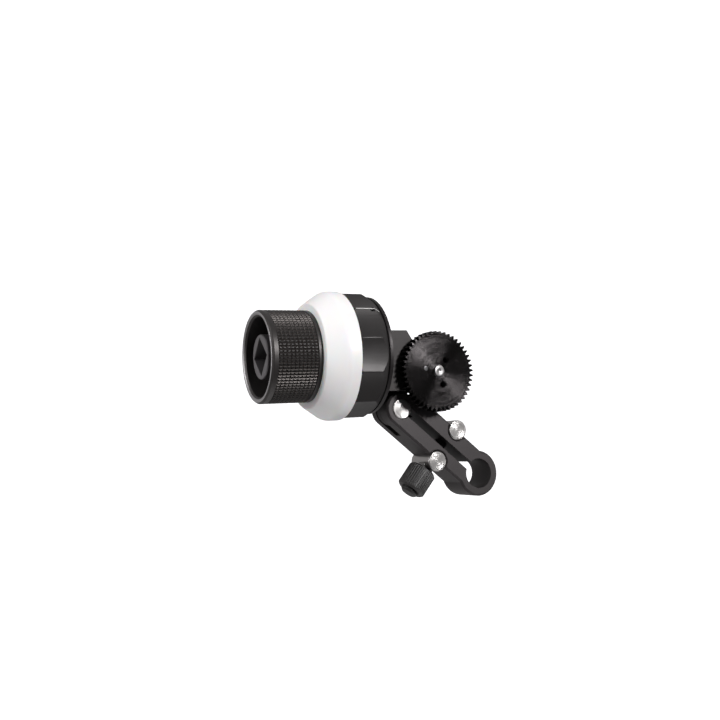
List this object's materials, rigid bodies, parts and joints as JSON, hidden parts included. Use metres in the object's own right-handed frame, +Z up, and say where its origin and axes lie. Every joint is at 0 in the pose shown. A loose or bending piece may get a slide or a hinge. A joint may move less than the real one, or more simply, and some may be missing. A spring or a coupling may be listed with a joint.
{
  "type": "follow focus unit",
  "caption": "Rod-mounted focus drive: knurled hand knob with a white marking disc and index ring, right-angle gearbox, drive gear, and a hinged split clamp arm.",
  "frame": {"origin": "centre of the rod clamp's bore, at the middle of the arm's thickness", "axes": "+Y along the support rod, away from the operator; +X along the knob's shaft, from the knob towards the drive gear; +Z up, from the rod towards the gearbox"},
  "size_m": [0.1248, 0.063, 0.105],
  "materials": {
    "black_anodised": "satin black anodised",
    "knob_anodised": "knurled black anodised",
    "gear_anodised": "fine turned dark grey anodised",
    "white_acetal": "smooth matt opal white",
    "stainless": "turned stainless",
    "black_screws": "black oxide",
    "shaft_steel": "ground steel",
    "bronze": "sintered bronze",
    "nylon": "natural nylon",
    "o_ring_rubber": "black rubber",
    "knob_plastic": "black moulded plastic"
  },
  "bodies": {
    "arm": {"clamp_arm": "black_anodised", "pivot_pin": "stainless", "pivot_washers": "nylon", "plain_barrel": "stainless", "barrel_nut": "stainless"},
    "washer_set": {"thrust_washer": "stainless"},
    "clamp_knob_set": {"clamp_screw": "shaft_steel", "clamp_knob": "knob_plastic", "knob_cap": "knob_plastic"},
    "gearbox": {"gearbox_housing": "black_anodised", "top_cover": "black_anodised", "rear_cover": "black_anodised", "cover_screws": "black_screws", "ring_carrier": "black_anodised", "carrier_screws": "black_screws", "input_bearings": "shaft_steel", "ring_circlip": "black_screws", "layshaft_bushes": "bronze", "output_bearing": "shaft_steel", "output_bush": "bronze"},
    "index_ring_set": {"index_ring": "black_anodised", "index_screw": "black_screws", "friction_pad": "nylon"},
    "focus_knob": {"knob_grip": "knob_anodised", "socket_boss": "knob_anodised", "socket_screw": "black_screws", "marking_disc": "white_acetal", "disc_carrier": "black_anodised", "disc_o_ring": "o_ring_rubber", "input_shaft": "shaft_steel", "input_pinion": "shaft_steel"},
    "layshaft_set": {"layshaft": "shaft_steel", "layshaft_gear": "shaft_steel", "bevel_pinion": "shaft_steel"},
    "drive_gear_set": {"bevel_gear": "shaft_steel", "output_shaft": "shaft_steel", "gear_hub": "black_anodised", "drive_gear": "gear_anodised", "drive_pin": "stainless", "gear_screw": "stainless"}
  },
  "joints": [
    {"name": "clamp_travel", "type": "slide", "parent": "arm", "child": "washer_set", "axis": [0.6561, 0, 0.7547], "range_m": [-0.002, 0]},
    {"name": "clamp_knob_turn", "type": "hinge", "parent": "washer_set", "child": "clamp_knob_set", "pos_m": [-0.02523, 0, 0.00603], "axis": [0.6561, 0, 0.7547], "range_deg": [-720, 0]},
    {"name": "arm_swing", "type": "hinge", "parent": "arm", "child": "gearbox", "pos_m": [-0.04218, 0, 0.03455], "axis": [0, 1, 0], "range_deg": [-55, 30]},
    {"name": "index_ring_turn", "type": "hinge", "parent": "gearbox", "child": "index_ring_set", "pos_m": [-0.06528, 0, 0.062], "axis": [1, 0, 0], "continuous": true},
    {"name": "focus_turn", "type": "hinge", "parent": "gearbox", "child": "focus_knob", "pos_m": [-0.08818, 0, 0.062], "axis": [1, 0, 0], "continuous": true},
    {"name": "layshaft_turn", "type": "hinge", "parent": "gearbox", "child": "layshaft_set", "pos_m": [-0.04748, 0, 0.052], "axis": [1, 0, 0], "continuous": true},
    {"name": "drive_gear_turn", "type": "hinge", "parent": "gearbox", "child": "drive_gear_set", "pos_m": [-0.02598, 0, 0.052], "axis": [0, 1, 0], "continuous": true}
  ],
  "couplings": [
    {"joint": "clamp_knob_turn", "follows": "clamp_travel", "rad_per_m": 6283.2},
    {"joint": "layshaft_turn", "follows": "focus_turn", "ratio": -1},
    {"joint": "drive_gear_turn", "follows": "focus_turn", "ratio": 1}
  ]
}
